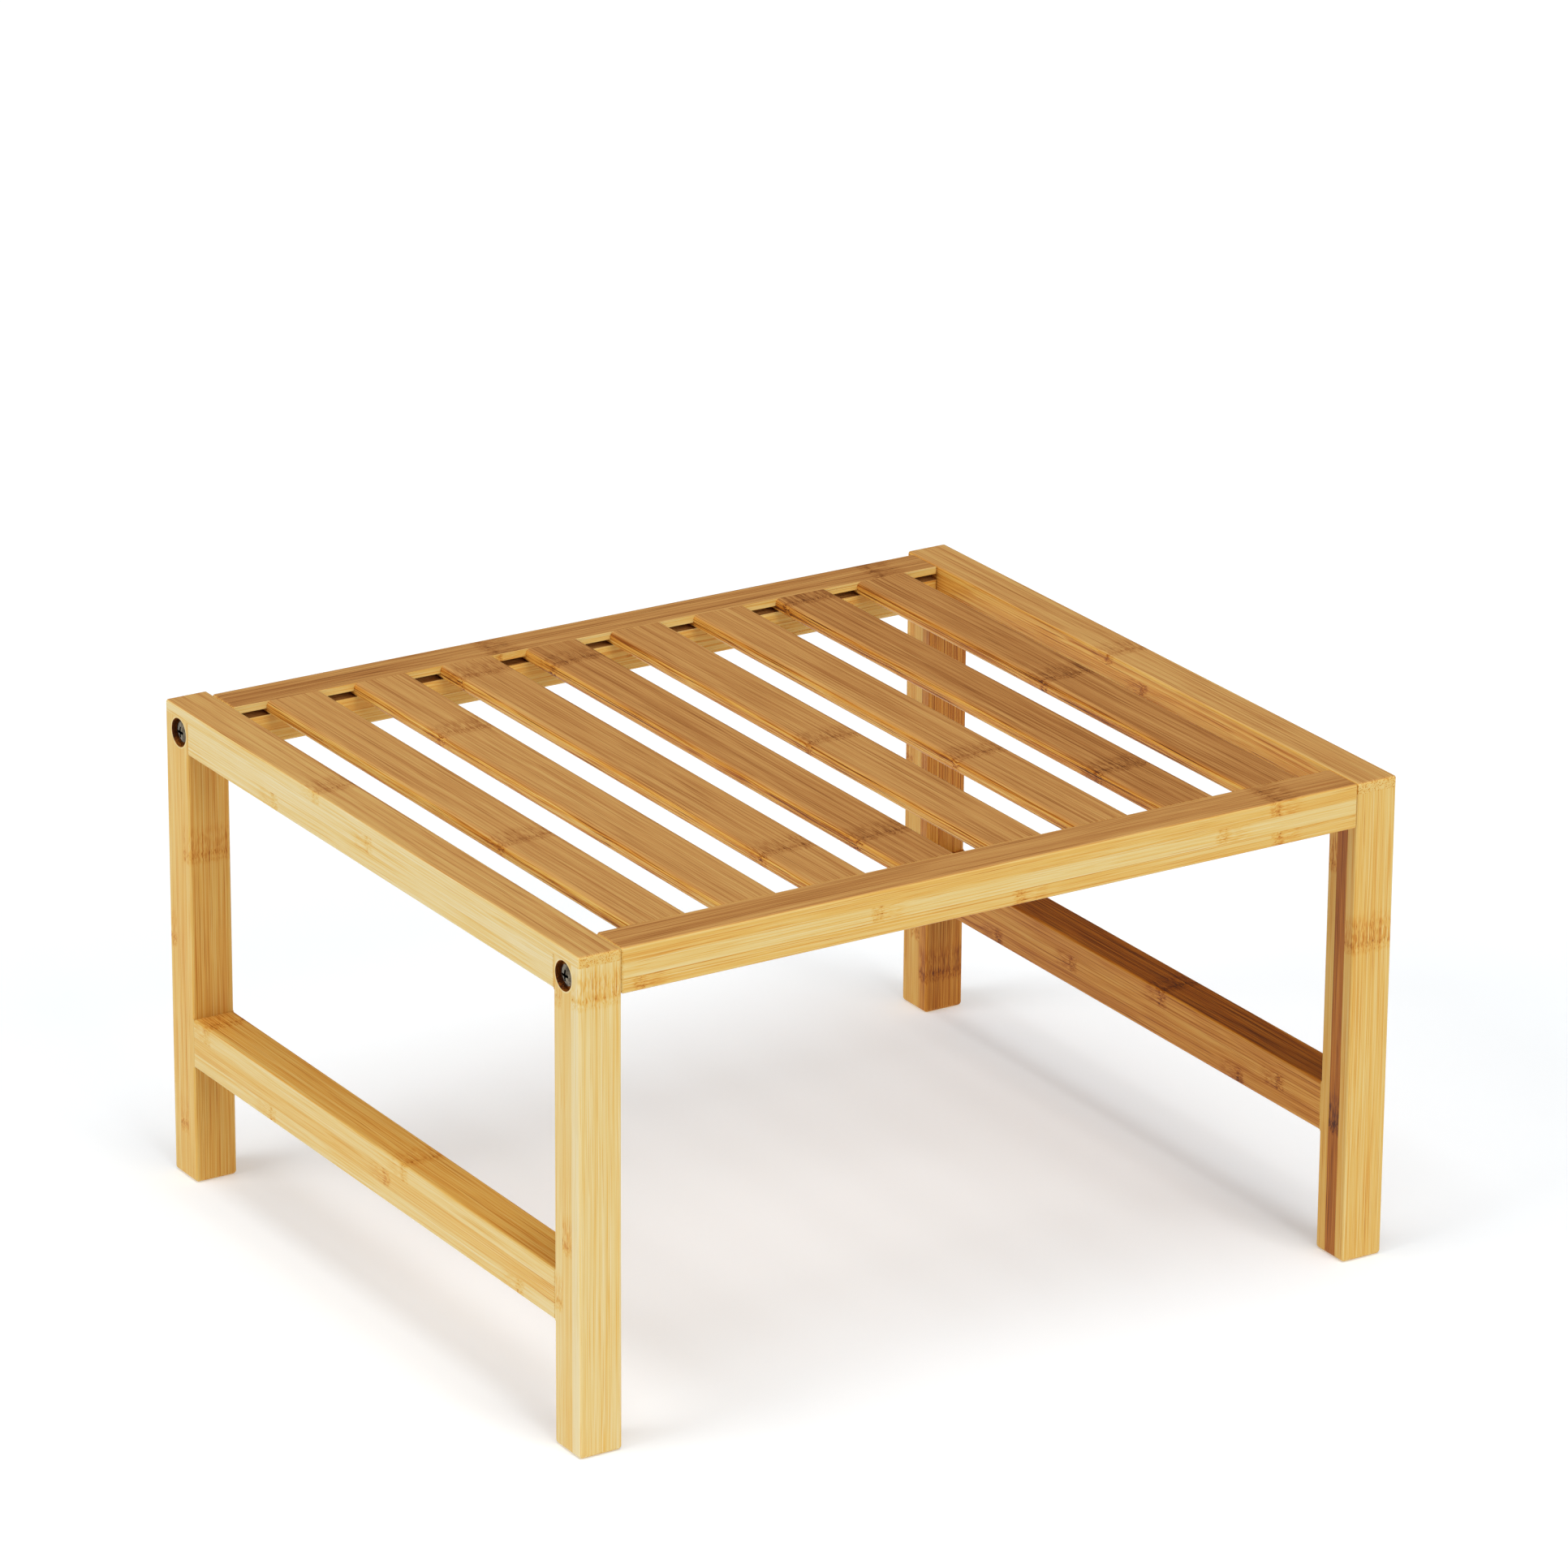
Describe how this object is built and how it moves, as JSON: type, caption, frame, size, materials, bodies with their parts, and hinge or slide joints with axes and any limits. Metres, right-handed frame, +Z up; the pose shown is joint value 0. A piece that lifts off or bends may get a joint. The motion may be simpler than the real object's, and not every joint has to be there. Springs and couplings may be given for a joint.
{
  "type": "entryway bench",
  "caption": "Low stackable entryway bench of laminated bamboo: slatted top between two side frames with stretchers, open below for shoes.",
  "frame": {"origin": "on the floor under the middle of the bench's outer box", "axes": "+X to the right along the front rail, +Y from the front to the back, +Z up"},
  "size_m": [0.4, 0.35, 0.22],
  "materials": {
    "frame_bamboo": "clear satin",
    "rail_bamboo": "clear satin",
    "slat_bamboo": "clear satin",
    "dowel_wood": "raw",
    "screw_steel": "bright zinc plated"
  },
  "bodies": {
    "root": {"leg_front_left": "frame_bamboo", "leg_front_right": "frame_bamboo", "leg_back_left": "frame_bamboo", "leg_back_right": "frame_bamboo", "side_rail_left": "frame_bamboo", "side_rail_right": "frame_bamboo", "stretcher_left": "frame_bamboo", "stretcher_right": "frame_bamboo", "front_rail": "rail_bamboo", "back_rail": "rail_bamboo", "slat_1": "slat_bamboo", "slat_2": "slat_bamboo", "slat_3": "slat_bamboo", "slat_4": "slat_bamboo", "slat_5": "slat_bamboo", "slat_6": "slat_bamboo", "slat_7": "slat_bamboo", "slat_8": "slat_bamboo", "side_rail_dowels": "dowel_wood", "stretcher_dowels": "dowel_wood", "assembly_screws": "screw_steel"}
  },
  "joints": []
}
